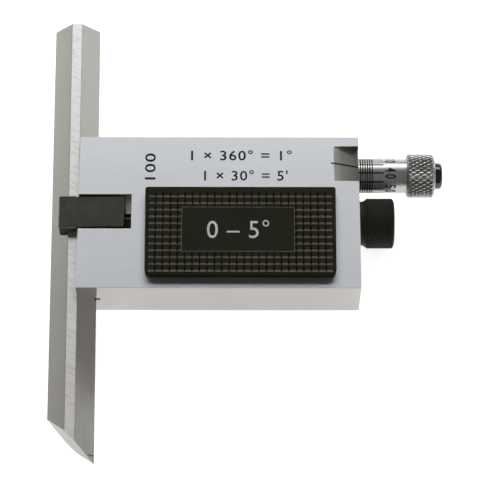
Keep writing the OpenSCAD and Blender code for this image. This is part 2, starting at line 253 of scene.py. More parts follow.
def turnShape(bm, angle, axis, verts=None):
    bmesh.ops.rotate(bm, cent=(0, 0, 0), matrix=Matrix.Rotation(angle, 3, axis),
                     verts=bm.verts if verts is None else verts)


def addBlock(bm, low, high):
    made = bmesh.ops.create_cube(bm, size=1)["verts"]
    low = Vector(low)
    high = Vector(high)
    bmesh.ops.scale(bm, vec=high - low, verts=made)
    bmesh.ops.translate(bm, vec=(low + high) / 2, verts=made)
    return made


def joinShapes(bm, other):
    loose = bpy.data.meshes.new("loose")
    other.to_mesh(loose)
    other.free()
    bm.from_mesh(loose)
    bpy.data.meshes.remove(loose)


def closeShell(bm):
    bmesh.ops.remove_doubles(bm, verts=bm.verts, dist=meshSpec["merge"] * mm)
    bmesh.ops.recalc_face_normals(bm, faces=bm.faces)


def lathe(outline, axisPoint, steps):
    bm = bmesh.new()
    verts = [bm.verts.new(axisPoint + Vector((x, 0, r)) * mm) for x, r in outline]
    edges = [bm.edges.new(pair) for pair in zip(verts, verts[1:] + verts[:1])]
    bmesh.ops.spin(bm, geom=verts + edges, cent=axisPoint, axis=(1, 0, 0), angle=2 * math.pi,
                   steps=steps, use_merge=True)
    closeShell(bm)
    return bm


def axisOf(node):
    low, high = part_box(node)
    return Vector((0, (low.y + high.y) / 2, (low.z + high.z) / 2))


# Stock: the CAD shell with broken edges, ground faces, lapped working faces and a milled index recess
stockSpec = {
    "edge": 0.04,
    "shortest": 0.95,   # shorter edges stay sharp
    "touch": 0.01,
    "recessLong": 5.5,  # from the right end
    "recessFrom": 3.5,  # from the middle plane
    "slotFrom": 3.0,    # from the left end
    "ground": {"metal": 1, "dark": (0.705, 0.722, 0.752), "light": (0.77, 0.788, 0.82),
               "rough": (0.46, 0.54), "grain": (90, 3600, 3600), "cloud": (45, 60, 60),
               "grainBump": 0.0003, "cloudBump": 0.003},
    # lapped working faces: smoother than the ground ones, and their colour is set darker as painted shade
    "lapped": {"metal": 1, "dark": (0.42, 0.405, 0.395), "light": (0.46, 0.44, 0.43),
               "rough": (0.12, 0.18), "grain": (2600, 2600, 2600), "cloud": (70, 70, 70),
               "grainBump": 0.0001, "cloudBump": 0.001},
    "milled": {"metal": 0.9, "dark": (0.67, 0.67, 0.645), "light": (0.78, 0.78, 0.75),
               "rough": (0.34, 0.44), "grain": (200, 2600, 2600), "cloud": (300, 90, 300),
               "grainBump": 0.0006, "cloudBump": 0.002,
               # painted shade: the ramp is coloured darker towards the thimble
               "paintedShading": ("X", (19.8, 25.1), [(0, (0.95, 0.95, 0.95)), (0.35, (0.55, 0.55, 0.53)),
                                            (1, (0.36, 0.36, 0.33))])},
    # walls inside the slot: coloured much darker than the faces, as painted shade
    "slotted": {"metal": 0.9, "dark": (0.18, 0.165, 0.135), "light": (0.27, 0.25, 0.205),
                "rough": (0.36, 0.5), "grain": (2600, 200, 2600), "cloud": (200, 200, 200),
                "grainBump": 0.0008, "cloudBump": 0.002},
    "worn": {"metal": 1, "dark": (0.66, 0.67, 0.68), "light": (0.80, 0.80, 0.80),
             "rough": (0.12, 0.24), "grain": (1500, 1500, 1500), "cloud": (200, 200, 200),
             "grainBump": 0.0003, "cloudBump": 0.002},
}
groundSteel = layeredFinish("groundSteel", stockSpec["ground"])
lappedSteel = layeredFinish("lappedSteel", stockSpec["lapped"])
milledSteelPaintedShade = layeredFinish("milledSteelPaintedShade", stockSpec["milled"])
slottedSteel = layeredFinish("slottedSteel", stockSpec["slotted"])
wornSteel = layeredFinish("wornSteel", stockSpec["worn"])
stockLow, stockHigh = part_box("stock_block")


def buildStock(spec):
    bm = cadShell("stock_block")
    middleZ = (stockLow.z + stockHigh.z) / 2
    for face in bm.faces:
        spot = face.calc_center_median()
        outside = min(abs(spot.y - stockLow.y), abs(spot.y - stockHigh.y)) < spec["touch"] * mm
        atEnd = spot.x > stockHigh.x - spec["recessLong"] * mm
        atDial = atEnd and abs(spot.z - middleZ) > spec["recessFrom"] * mm
        sloped = abs(face.normal.x) > 0.2 and abs(face.normal.z) > 0.8
        upright = abs(face.normal.y) > 0.99
        if upright and outside:
            face.material_index = 1
        elif atDial and (sloped or upright):
            face.material_index = 2
        elif upright or (face.normal.x < -0.9 and spot.x > stockLow.x + spec["slotFrom"] * mm):
            face.material_index = 3
    bevelEdges(bm, outerEdges(bm, spec["shortest"]), spec["edge"], material=4)
    finishes = [groundSteel, lappedSteel, milledSteelPaintedShade, slottedSteel, wornSteel]
    savePiece(bm, "stock_dressed", finishes, "stock", ["stock_block"])


buildStock(stockSpec)

# Blade: two ground bevels and a flat on each side, with fine grain along its length, and cut ends
bladeSpec = {
    "edge": 0.03,
    "shortest": 0.1,
    "flat": {"metal": 1, "dark": (0.785, 0.785, 0.785), "light": (0.865, 0.865, 0.865),
             "rough": (0.45, 0.51), "grain": (4200, 80, 4200), "cloud": (60, 30, 60),
             "grainBump": 0.0003, "cloudBump": 0.002,
             "strokes": (-28, (3.2, 0.5, 3.2), [(0.3, (0.86, 0.86, 0.87)), (0.5, (1, 1, 1)),
                                                (0.7, (1.05, 1.05, 1.06))]),
             # painted light: the flat is coloured lighter towards the pointed end
             "paintedShading": ("Y", (-56, 44), [(0, (1.17, 1.13, 1.08)), (0.45, (1.03, 1.02, 1)),
                                       (1, (0.98, 0.98, 0.985))])},
    # the inner and outer bevels are coloured about half as light as the flat, as painted shade
    "inner": {"metal": 1, "dark": (0.42, 0.415, 0.395), "light": (0.47, 0.465, 0.445),
              "rough": (0.18, 0.24), "grain": (3600, 60, 3600), "cloud": (50, 25, 50),
              "grainBump": 0.0001, "cloudBump": 0.001},
    "outer": {"metal": 1, "dark": (0.39, 0.385, 0.365), "light": (0.43, 0.425, 0.405),
              "rough": (0.18, 0.24), "grain": (3600, 60, 3600), "cloud": (50, 25, 50),
              "grainBump": 0.0001, "cloudBump": 0.001,
              # painted shade: the outer bevel is coloured darker towards the pointed end
              "paintedShading": ("Y", (-56, 44), [(0, (0.64, 0.63, 0.61)), (0.4, (0.70, 0.695, 0.68)),
                                        (1, (1, 1, 1))])},
    "ends": {"metal": 1, "dark": (0.206, 0.2, 0.194), "light": (0.229, 0.222, 0.215),
             "rough": (0.14, 0.2), "grain": (2600, 2600, 2600), "cloud": (70, 70, 70),
             "grainBump": 0.0001, "cloudBump": 0.001},
    # scribed tick near the pointed end, on the inner bevel
    "tick": {"up": 1.75, "long": 1.5, "wide": 0.2, "thick": 0.03, "proud": 0.006, "edge": 0.004,
             "turn": 45, "inset": 0.08},
}
bladeFlat = layeredFinish("bladeFlat", bladeSpec["flat"])
bladeInner = layeredFinish("bladeInner", bladeSpec["inner"])
bladeOuter = layeredFinish("bladeOuter", bladeSpec["outer"])
bladeEnds = layeredFinish("bladeEnds", bladeSpec["ends"])
markInk = layeredFinish("markInk", {
    "metal": 0, "gloss": 0.15, "dark": (0.006, 0.006, 0.005), "light": (0.014, 0.014, 0.012),
    "rough": (0.45, 0.65), "grain": (4000, 4000, 4000), "cloud": (500, 500, 500),
    "grainBump": 0.001, "cloudBump": 0.001})


def buildBlade(spec):
    bm = cadShell("blade")
    for face in bm.faces:
        if abs(face.normal.y) > 0.3:
            face.material_index = 3
        elif abs(face.normal.z) < 0.95:
            face.material_index = 1 if face.normal.x > 0 else 2
    bevelEdges(bm, outerEdges(bm, spec["shortest"]), spec["edge"], material=4)
    finishes = [bladeFlat, bladeInner, bladeOuter, bladeEnds, wornSteel]
    savePiece(bm, "blade_dressed", finishes, "blade", ["blade"])
    tick = spec["tick"]
    tip = min(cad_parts["blade"].data.vertices, key=lambda v: v.co.y).co
    bm = bmesh.new()
    addBlock(bm, Vector((-tick["long"], -tick["wide"] / 2, -tick["thick"])) * mm,
             Vector((0, tick["wide"] / 2, tick["proud"])) * mm)
    bevelEdges(bm, bm.edges[:], tick["edge"])
    turnShape(bm, math.radians(tick["turn"]), "Y")
    place = tip + Vector((-tick["inset"], tick["up"], tick["inset"])) * mm
    bmesh.ops.translate(bm, vec=place, verts=bm.verts)
    savePiece(bm, "blade_tick", [markInk], "blade")


buildBlade(bladeSpec)

# Clamp yoke: blackened claw with rounded tail corners and lighter edges, partly rubbed oxide and partly
# painted highlight
yokeSpec = {
    "edge": 0.2,
    "shortest": 0.8,
    "tailRound": 0.6,
    "tailTall": 9,     # only the tail's upright edges are longer
    "tailNear": 0.3,   # from the tail's end
    "oxide": {"metal": 0.6, "gloss": 0.3, "dark": (0.040, 0.040, 0.035),
              "light": (0.060, 0.060, 0.052), "rough": (0.36, 0.5), "grain": (2400, 2400, 2400),
              "cloud": (300, 300, 300), "grainBump": 0.002, "cloudBump": 0.006},
    # edges: lighter than the oxide, partly wear and partly painted highlight
    "paintedHighlight": {"metal": 0.4, "dark": (0.10, 0.10, 0.092), "light": (0.24, 0.24, 0.22),
               "rough": (0.3, 0.45), "grain": (900, 900, 900), "cloud": (240, 240, 240),
               "grainBump": 0.001, "cloudBump": 0.003},
}
blackOxide = layeredFinish("blackOxide", yokeSpec["oxide"])
wornOxideAndHighlight = layeredFinish("wornOxideAndHighlight", yokeSpec["paintedHighlight"])


def buildYoke(spec):
    bm = cadShell("clamp_yoke")
    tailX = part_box("clamp_yoke")[1].x - spec["tailNear"] * mm
    corners = [e for e in outerEdges(bm, spec["tailTall"])
               if edgeTall(e) > spec["tailTall"] * mm and e.verts[0].co.x > tailX]
    bevelEdges(bm, corners, spec["tailRound"], segments=5)
    bevelEdges(bm, outerEdges(bm, spec["shortest"]), spec["edge"], material=1)
    savePiece(bm, "yoke_dressed", [blackOxide, wornOxideAndHighlight], "yoke", ["clamp_yoke"])


buildYoke(yokeSpec)

# Grip pads: a rounded plate with a field of small pyramids and a smooth label in it
padSpec = {
    "topCorner": 0.5,
    "lowCorner": 1.3,
    "taper": 0.994,
    "edge": 0.3,
    "rim": 0.7,
    "topRim": 1.07,
    "lowRim": 0.33,
    "fieldHeight": 0.34,
    "columns": 25,
    "rows": 12,
    "valley": 0.03,
    "slope": 0.36,
    "rise": 0.26,
    "spread": 1.42,
    "sink": 0.25,
    "upright": 1,        # an upright edge is taller
    "near": 0.05,        # faces this near below the field's floor are cut too
    "wallDeep": 0.1,     # walls of the label's opening go below the floor
    "plateGap": 0.01,
    "plateTop": 0.3,     # the plate's upper edges are higher above its foot
    "plateDrop": 0.06,
    "plateEdge": 0.14,
    "plastic": {"metal": 0, "gloss": 0.08, "dark": (0.0134, 0.0116, 0.0064),
                "light": (0.0206, 0.018, 0.0106), "rough": (0.5, 0.62), "grain": (5200, 5200, 5200),
                "cloud": (260, 260, 260), "grainBump": 0.004, "cloudBump": 0.004},
    # painted highlight: lighter plastic for the front-facing pyramid flanks and the label plate's edges
    "paintedHighlight": {"metal": 0, "gloss": 0.4, "dark": (0.097, 0.095, 0.076),
               "light": (0.178, 0.172, 0.138), "rough": (0.4, 0.55), "grain": (3200, 3200, 3200),
               "cloud": (200, 200, 200), "grainBump": 0.002, "cloudBump": 0.002},
    "plate": {"metal": 0, "gloss": 0.28, "dark": (0.0192, 0.0186, 0.0128),
              "light": (0.0246, 0.0238, 0.0168), "rough": (0.07, 0.12), "grain": (6500, 6500, 6500),
              "cloud": (120, 120, 120), "grainBump": 0.001, "cloudBump": 0.02},
}
gripPlastic = layeredFinish("gripPlastic", padSpec["plastic"])
paintedHighlightPlastic = layeredFinish("paintedHighlightPlastic", padSpec["paintedHighlight"])
plateSatin = layeredFinish("plateSatin", padSpec["plate"])
printGrey = layeredFinish("printGrey", {
    "metal": 0, "dark": (0.46, 0.46, 0.45), "light": (0.60, 0.60, 0.59), "rough": (0.4, 0.6),
    "grain": (4000, 4000, 4000), "cloud": (400, 400, 400), "grainBump": 0.001, "cloudBump": 0.001})


def pyramidField(spec, low, high, floorZ, plateLow, plateHigh):
    low = low + Vector((spec["rim"], spec["lowRim"], 0)) * mm
    high = high - Vector((spec["rim"], spec["topRim"], 0)) * mm
    size = high - low
    bm = bmesh.new()
    bmesh.ops.create_grid(bm, x_segments=spec["columns"], y_segments=spec["rows"], size=0.5)
    bmesh.ops.scale(bm, vec=(size.x, size.y, 1), verts=bm.verts)
    place = ((low.x + high.x) / 2, (low.y + high.y) / 2, floorZ - spec["sink"] * mm)
    bmesh.ops.translate(bm, vec=place, verts=bm.verts)
    raised = bmesh.ops.extrude_face_region(bm, geom=bm.faces[:])["geom"]
    cells = [g for g in raised if isinstance(g, bmesh.types.BMFace)]
    bmesh.ops.translate(bm, vec=(0, 0, spec["sink"] * mm), verts=vertsOf(raised))
    bmesh.ops.recalc_face_normals(bm, faces=bm.faces)
    bmesh.ops.inset_individual(bm, faces=cells, thickness=spec["valley"] * mm, use_even_offset=True)
    flanks = bmesh.ops.inset_individual(bm, faces=cells, thickness=spec["slope"] * mm,
                                        depth=spec["rise"] * mm, use_even_offset=True)["faces"]
    for face in flanks:  # painted highlight on the flanks that face the front
        face.material_index = 1 if face.normal.y < -0.3 else 0
    for face in cells:  # tops wider than tall
        middle = face.calc_center_median().x
        for vert in face.verts:
            vert.co.x = middle + (vert.co.x - middle) * spec["spread"]
    # the label's opening is cut through the pyramids and given upright walls
    nearZ = floorZ - spec["near"] * mm
    for away in ((1, 0, 0), (0, 1, 0)):
        for point in (plateLow, plateHigh):
            upper = [f for f in bm.faces if f.calc_center_median().z > nearZ]
            edges = list({e for f in upper for e in f.edges})
            verts = list({v for f in upper for v in f.verts})
            bmesh.ops.bisect_plane(bm, geom=upper + edges + verts, dist=meshSpec["cut"] * mm,
                                   plane_co=point, plane_no=away)
    inside = []
    for face in bm.faces:
        spot = face.calc_center_median()
        within = plateLow.x < spot.x < plateHigh.x and plateLow.y < spot.y < plateHigh.y
        if within and spot.z > nearZ:
            inside.append(face)
    bmesh.ops.delete(bm, geom=inside, context="FACES")
    border = [e for e in bm.edges if e.is_boundary]
    walls = bmesh.ops.extrude_edge_only(bm, edges=border)["geom"]
    for vert in vertsOf(walls):
        vert.co.z = floorZ - spec["wallDeep"] * mm
    bmesh.ops.remove_doubles(bm, verts=bm.verts, dist=meshSpec["merge"] * mm)
    bmesh.ops.holes_fill(bm, edges=[e for e in bm.edges if e.is_boundary], sides=0)
    bmesh.ops.recalc_face_normals(bm, faces=bm.faces)
    return bm


def buildPad(spec, node, plateNode, front):
    low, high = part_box(node)
    plateLow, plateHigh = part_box(plateNode)
    if not front:  # made face up, then turned over
        low.z, high.z = -high.z, -low.z
        plateLow.z, plateHigh.z = -plateHigh.z, -plateLow.z
    floorZ = high.z - spec["fieldHeight"] * mm
    gap = Vector((spec["plateGap"], spec["plateGap"], 0)) * mm
    plateLow = plateLow - gap
    plateHigh = plateHigh + gap
    bm = bmesh.new()
    for vert in addBlock(bm, low, (high.x, high.y, floorZ)):
        if vert.co.y < 0:
            vert.co.x *= spec["taper"]
    middleY = (low.y + high.y) / 2
    tall = spec["upright"] * mm
    upper = [e for e in bm.edges if edgeTall(e) > tall and e.verts[0].co.y > middleY]
    bevelEdges(bm, upper, spec["topCorner"], segments=5)
    lower = [e for e in bm.edges if edgeTall(e) > tall and e.verts[0].co.y < middleY]
    bevelEdges(bm, lower, spec["lowCorner"], segments=6)
    rimEdges = [e for e in bm.edges if min(v.co.z for v in e.verts) > floorZ - meshSpec["merge"] * mm]
    bevelEdges(bm, rimEdges, spec["edge"], segments=3)
    joinShapes(bm, pyramidField(spec, low, high, floorZ, plateLow, plateHigh))
    plate = bmesh.new()
    addBlock(plate, plateLow + gap, plateHigh - gap - Vector((0, 0, spec["plateDrop"])) * mm)
    topZ = plateLow.z + spec["plateTop"] * mm
    top = [e for e in plate.edges if min(v.co.z for v in e.verts) > topZ]
    bevelEdges(plate, top, spec["plateEdge"], segments=2, material=1)
    side = "front"
    if not front:
        side = "back"
        for shape in (bm, plate):
            bmesh.ops.scale(shape, vec=(1, 1, -1), verts=shape.verts)
            bmesh.ops.recalc_face_normals(shape, faces=shape.faces)
    savePiece(bm, side + "_pad_pyramids", [gripPlastic, paintedHighlightPlastic], "stock",
              [node], crease=30)
    # the label plate's edges get the lighter plastic as a painted highlight
    savePiece(plate, side + "_plate_dressed", [plateSatin, paintedHighlightPlastic], "stock",
              [plateNode])


buildPad(padSpec, "front_grip_pad", "front_label_plate", True)
buildPad(padSpec, "back_grip_pad", "back_label_plate", False)


# Marks: plain numerals and lines, filled with ink
def wordsShape(words, width, height, spread=1.0, weight=0.0, thick=0.03):
    curveMerge = 0.0004  # in the font's own units
    curve = bpy.data.curves.new("words", "FONT")
    curve.body = words
    curve.space_character = spread
    curve.offset = weight
    curve.resolution_u = 3
    holder = bpy.data.objects.new("words", curve)
    scene.collection.objects.link(holder)
    bpy.context.view_layer.update()
    mesh = bpy.data.meshes.new_from_object(holder.evaluated_get(bpy.context.evaluated_depsgraph_get()))
    bm = bmesh.new()
    bm.from_mesh(mesh)
    bpy.data.objects.remove(holder)
    bpy.data.curves.remove(curve)
    bpy.data.meshes.remove(mesh)
    bmesh.ops.remove_doubles(bm, verts=bm.verts, dist=curveMerge)
    low = Vector((min(v.co.x for v in bm.verts), min(v.co.y for v in bm.verts), 0))
    high = Vector((max(v.co.x for v in bm.verts), max(v.co.y for v in bm.verts), 0))
    bmesh.ops.translate(bm, vec=-(low + high) / 2, verts=bm.verts)
    stretch = (width * mm / (high.x - low.x), height * mm / (high.y - low.y), 1)
    bmesh.ops.scale(bm, vec=stretch, verts=bm.verts)
    raised = bmesh.ops.extrude_face_region(bm, geom=bm.faces[:])["geom"]
    bmesh.ops.translate(bm, vec=(0, 0, -thick * mm), verts=vertsOf(raised))
    bmesh.ops.recalc_face_normals(bm, faces=bm.faces)
    return bm


markSpec = {
    "lift": 0.008,
    "deep": 0.03,
    "lines": [  # words, middle x and y from the stock's lower left corner, width, height, turn
        ("1 × 360° = 1°", 34.3, 30.65, 21.4, 2.45, 0),
        ("1 × 30° = 5'", 35.25, 25.9, 17.7, 2.45, 0),
        ("100", 15.0, 28.0, 6.2, 2.3, 90),
    ],
    "spread": 1.12,
    "weight": 0.012,
    "index": {"x": 53.3, "rampX": 53.9, "endX": 59.15, "y": 28.85, "rampDepth": 2.05,
              "rampLong": 5.3, "wide": 0.34},
    "label": ("0 – 5°", 13.0, 4.2),  # words, width, height
    "labelSpread": 1.05,
}


def buildFaceMarks(spec):
    bm = bmesh.new()
    for words, x, y, width, height, turn in spec["lines"]:
        line = wordsShape(words, width, height, spec["spread"], spec["weight"])
        turnShape(line, math.radians(turn), "Z")
        place = Vector((stockLow.x, stockLow.y, stockHigh.z)) + Vector((x, y, spec["lift"])) * mm
        bmesh.ops.translate(line, vec=place, verts=line.verts)
        joinShapes(bm, line)
    savePiece(bm, "face_marks", [markInk], "stock")
    index = spec["index"]
    slope = math.atan2(index["rampDepth"], index["rampLong"])
    half = index["wide"] / 2
    flat = bmesh.new()
    addBlock(flat, Vector((index["x"], index["y"] - half, -spec["deep"])) * mm,
             Vector((index["rampX"], index["y"] + half, spec["lift"])) * mm)
    ramp = bmesh.new()
    run = (index["endX"] - index["rampX"]) / math.cos(slope)
    addBlock(ramp, Vector((0, -half, -spec["deep"])) * mm, Vector((run, half, spec["lift"])) * mm)
    turnShape(ramp, slope, "Y")
    bmesh.ops.translate(ramp, vec=Vector((index["rampX"], index["y"], 0)) * mm, verts=ramp.verts)
    joinShapes(flat, ramp)
    bmesh.ops.translate(flat, vec=(stockLow.x, stockLow.y, stockHigh.z), verts=flat.verts)
    savePiece(flat, "index_line", [markInk], "stock")


def buildLabelMarks(spec, node, front):
    words, width, height = spec["label"]
    low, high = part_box(node)
    bm = wordsShape(words, width, height, spec["labelSpread"])
    middle = (low + high) / 2
    drop = padSpec["plateDrop"] * mm
    top = high.z - drop if front else low.z + drop
    lift = spec["lift"] * mm if front else -spec["lift"] * mm
    if not front:
        turnShape(bm, math.pi, "Y")
    bmesh.ops.translate(bm, vec=(middle.x, middle.y, top + lift), verts=bm.verts)
    savePiece(bm, ("front" if front else "back") + "_plate_marks", [printGrey], "stock")


buildFaceMarks(markSpec)
buildLabelMarks(markSpec, "front_label_plate", True)
buildLabelMarks(markSpec, "back_label_plate", False)


# Diamond knurl: a grid turned by 45 degrees, rolled round the axis, then each diamond raised
knurlSpec = {
    "slack": 0.01,    # of a cell, keeps one row of the two that would meet
    "cut": 0.0001,    # of a cell
    "smallest": 1.1,  # a diamond this many slopes wide is raised
}


def pullRing(bm, edges, x, radius, axisPoint):
    made = bmesh.ops.extrude_edge_only(bm, edges=edges)["geom"]
    for vert in vertsOf(made):
        arm = Vector((0, vert.co.y - axisPoint.y, vert.co.z - axisPoint.z)).normalized()
        vert.co = Vector((x * mm, axisPoint.y, axisPoint.z)) + arm * radius * mm
    return [g for g in made if isinstance(g, bmesh.types.BMEdge)]


def knurledShell(spec, axisPoint):
    around = spec["around"]
    start, end = spec["band"]
    groove = spec["radius"] - spec["depth"]
    half = (end - start) / spec["pitch"] / 2
    cells = 2 * math.ceil(half + around / 2 + 2)
    bm = bmesh.new()
    bmesh.ops.create_grid(bm, x_segments=cells, y_segments=cells, size=cells / math.sqrt(8))
    turnShape(bm, math.radians(45), "Z")
    lowest = -around / 2 - knurlSpec["slack"]
    highest = around / 2 - knurlSpec["slack"]
    unused = [f for f in bm.faces if not lowest < f.calc_center_median().y < highest]
    bmesh.ops.delete(bm, geom=unused, context="FACES")
    for side in (1, -1):
        geom = bm.verts[:] + bm.edges[:] + bm.faces[:]
        bmesh.ops.bisect_plane(bm, geom=geom, dist=knurlSpec["cut"], plane_co=(side * half, 0, 0),
                               plane_no=(side, 0, 0), clear_outer=True)
    for vert in bm.verts:
        turn = vert.co.y / around * 2 * math.pi
        along = (start + end) / 2 + vert.co.x * spec["pitch"]
        vert.co = axisPoint + Vector((along, -groove * math.sin(turn), groove * math.cos(turn))) * mm
    bmesh.ops.remove_doubles(bm, verts=bm.verts, dist=meshSpec["coarseMerge"] * mm)
    bm.normal_update()
    first = bm.faces[:][0]
    if first.normal.dot(first.calc_center_median() - axisPoint) < 0:
        bmesh.ops.reverse_faces(bm, faces=bm.faces)
    smallest = knurlSpec["smallest"] * spec["slope"] * mm
    diamonds = [f for f in bm.faces if 2 * f.calc_area() / f.calc_perimeter() > smallest]
    rings = {}
    middle = (start + end) / 2 * mm
    for side, stops in (("left", spec["leftEnd"]), ("right", spec["rightEnd"])):
        ring = [e for e in bm.edges if e.is_boundary and (e.verts[0].co.x > middle) == (side == "right")]
        for x, radius in stops:
            ring = pullRing(bm, ring, x, radius, axisPoint)
        rings[side] = ring
    crown, crownRise = spec["crown"]
    bmesh.ops.inset_individual(bm, faces=diamonds, thickness=spec["slope"] * mm,
                               depth=(spec["depth"] - crownRise) * mm, use_even_offset=True)
    for face in diamonds:  # the rolled ridges run more one way than the other
        face.material_index = 1
        spot = face.calc_center_median()
        sideways = face.normal.cross((1, 0, 0))
        lean = Vector((1, 0, 0)) * math.cos(spec["lean"]) + sideways * math.sin(spec["lean"])
        for vert in face.verts:
            vert.co += lean * lean.dot(vert.co - spot) * spec["stretch"]
    bmesh.ops.inset_individual(bm, faces=diamonds, thickness=crown * mm, depth=crownRise * mm,
                               use_even_offset=True)
    if spec["through"]:
        bmesh.ops.bridge_loops(bm, edges=rings["left"] + rings["right"])
    closeShell(bm)
    return bm


# Thimble: ringed and numbered sleeve, knurled grip, gloss cap
dialSpec = {
    "endWall": 5.22,        # from the sleeve's hollow to its end
    "bore": 3.05,
    "tailBore": 1.51,
    "edge": 0.12,
    "steps": 96,
    "ringFirst": 0.46,      # first ring outside the stock's end
    "ringPitch": 0.5,
    "ringCount": 6,
    "ringWide": 0.24,
    "ringDeep": 0.1,
    "ringZone": 4,          # the rings are inked this far from the stock's end
    "ringTop": 0.02,
    "lineStart": 0.2,       # from the sleeve's inner end
    "lineDeep": 0.05,
    "lineLift": 0.008,
    "lineEnd": 5.37,        # from the stock's end
    "lineWide": 0.32,
    "lineCount": 12,
    "phase": 15.8,          # degrees from the front down to the line of the phase number
    "phaseNumber": 40,
    "numberStep": 6,        # degrees for each unit
    "numbers": (0, 10, 20, 30, 40, 50),
    "numberFrom": 5.72,     # from the stock's end
    "numberTall": 2.35,
    "numberWide": 2.45,     # two figures
    "zeroShare": 0.38,      # of that width for a single nought
    "numberDeep": 0.06,
    "numberLift": 0.012,
    "slices": 7,            # cuts on each side, so that the figures bend with the sleeve
    "sliceWide": 0.18,
    "spread": 1.45,
    "weight": 0.02,         # makes the figures bolder
    "chrome": {"metal": 0.88, "dark": (0.53, 0.535, 0.535), "light": (0.59, 0.595, 0.595),
               "rough": (0.30, 0.38), "grain": (3800, 260, 260), "cloud": (160, 160, 160),
               "grainBump": 0.0004, "cloudBump": 0.001},
}
satinChrome = layeredFinish("satinChrome", dialSpec["chrome"])
dialAxis = axisOf("thimble_sleeve")


def buildSleeve(spec):
    low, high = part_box("thimble_sleeve")
    startX = low.x / mm
    endX = high.x / mm
    radius = (high.z - low.z) / 2 / mm
    faceX = stockHigh.x / mm
    outline = [(startX, spec["bore"]), (startX, radius - spec["edge"]), (startX + spec["edge"], radius)]
    for ring in range(spec["ringCount"]):
        x = faceX + spec["ringFirst"] + ring * spec["ringPitch"]
        half = spec["ringWide"] / 2
        outline += [(x - half, radius), (x, radius - spec["ringDeep"]), (x + half, radius)]
    outline += [(endX - spec["edge"], radius), (endX, radius - spec["edge"]), (endX, spec["tailBore"])]
    outline += [(endX - spec["endWall"], spec["tailBore"]), (endX - spec["endWall"], spec["bore"])]
    bm = lathe(outline, dialAxis, spec["steps"])
    for face in bm.faces:
        spot = face.calc_center_median()
        reach = math.hypot(spot.y - dialAxis.y, spot.z - dialAxis.z)
        inRings = faceX * mm < spot.x < (faceX + spec["ringZone"]) * mm
        if inRings and (radius - spec["ringDeep"]) * mm < reach < (radius - spec["ringTop"]) * mm:
            face.material_index = 1
    savePiece(bm, "sleeve_dressed", [satinChrome, markInk], "thimble", ["thimble_sleeve"])
    # twelve lines, and a number on every second one
    lines = bmesh.new()
    half = spec["lineWide"] / 2
    for step in range(spec["lineCount"]):
        low = Vector((startX + spec["lineStart"], -half, radius - spec["lineDeep"]))
        high = Vector((faceX + spec["lineEnd"], half, radius + spec["lineLift"]))
        made = addBlock(lines, low * mm, high * mm)
        turnShape(lines, math.radians(spec["phase"] + step * 360 / spec["lineCount"]), "X", made)
    bmesh.ops.translate(lines, vec=dialAxis, verts=lines.verts)
    for number in spec["numbers"]:
        wide = spec["numberWide"] if number else spec["numberWide"] * spec["zeroShare"]
        words = wordsShape(str(number), wide, spec["numberTall"], spec["spread"], spec["weight"],
                           spec["numberDeep"])
        for cut in range(-spec["slices"], spec["slices"] + 1):
            geom = words.verts[:] + words.edges[:] + words.faces[:]
            bmesh.ops.bisect_plane(words, geom=geom, dist=meshSpec["cut"] * mm,
                                   plane_co=(cut * spec["sliceWide"] * mm, 0, 0), plane_no=(1, 0, 0))
        middleTurn = math.radians(spec["phase"] + (number - spec["phaseNumber"]) * spec["numberStep"])
        for vert in words.verts:
            turn = middleTurn + vert.co.x / (radius * mm)
            reach = (radius + spec["numberLift"]) * mm + vert.co.z
            x = (faceX + spec["numberFrom"] + spec["numberTall"] / 2) * mm + vert.co.y
            vert.co = dialAxis + Vector((x, -reach * math.sin(turn), reach * math.cos(turn)))
        joinShapes(lines, words)
    savePiece(lines, "dial_marks", [markInk], "thimble")


buildSleeve(dialSpec)

gripSpec = {
    "around": 30,
    "pitch": 1.62,
    "radius": 4.65,
    "depth": 0.24,
    "slope": 0.13,
    "crown": (0.19, 0.1),
    "lean": 0.54,
    "stretch": 0.25,
    "band": (35.7, 41.02),
    "leftEnd": [(35.48, 4.22), (35.48, 3.66)],
    "rightEnd": [(41.26, 4.22), (41.26, 3.66)],
    "through": True,
    # the grooves are coloured darker than the lands: painted shade
    "groove": {"metal": 1, "dark": (0.26, 0.26, 0.245), "light": (0.38, 0.38, 0.36),
               "rough": (0.34, 0.46), "grain": (2600, 500, 500), "cloud": (400, 400, 400),
               "grainBump": 0.001, "cloudBump": 0.002},
    "land": {"metal": 1, "dark": (0.46, 0.46, 0.44), "light": (0.58, 0.58, 0.56),
             "rough": (0.34, 0.44), "grain": (3200, 400, 400), "cloud": (500, 500, 500),
             "grainBump": 0.0006, "cloudBump": 0.002},
}
knurlGroove = layeredFinish("knurlGroove", gripSpec["groove"])
knurlLand = layeredFinish("knurlLand", gripSpec["land"])
savePiece(knurledShell(gripSpec, dialAxis), "grip_knurled", [knurlGroove, knurlLand], "thimble",
          ["thimble_grip"])

capSpec = {
    "stud": 1.2,
    "edge": 0.1,
    "round": 0.75,
    "roundSteps": 7,
    "steps": 64,
    "gloss": {"metal": 0, "gloss": 0.8, "dark": (0.006, 0.006, 0.006),
              "light": (0.014, 0.013, 0.012), "rough": (0.05, 0.1), "grain": (3000, 3000, 3000),
              "cloud": (300, 300, 300), "grainBump": 0.0006, "cloudBump": 0.002},
}
capGloss = layeredFinish("capGloss", capSpec["gloss"])


def buildCap(spec):
    low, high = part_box("thimble_cap")
    radius = (high.z - low.z) / 2 / mm
    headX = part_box("thimble_sleeve")[1].x / mm
    endX = high.x / mm
    startX = low.x / mm
    outline = [(startX, 0), (startX, spec["stud"]), (headX, spec["stud"]), (headX, radius - spec["edge"]),
               (headX + spec["edge"], radius)]
    for step in range(spec["roundSteps"] + 1):
        turn = math.pi / 2 * step / spec["roundSteps"]
        outline.append((endX - spec["round"] * (1 - math.sin(turn)),
                        radius - spec["round"] * (1 - math.cos(turn))))
    outline.append((endX, 0))
    bm = lathe(outline, dialAxis, spec["steps"])
    savePiece(bm, "cap_dressed", [capGloss], "thimble", ["thimble_cap"], crease=40)


buildCap(capSpec)

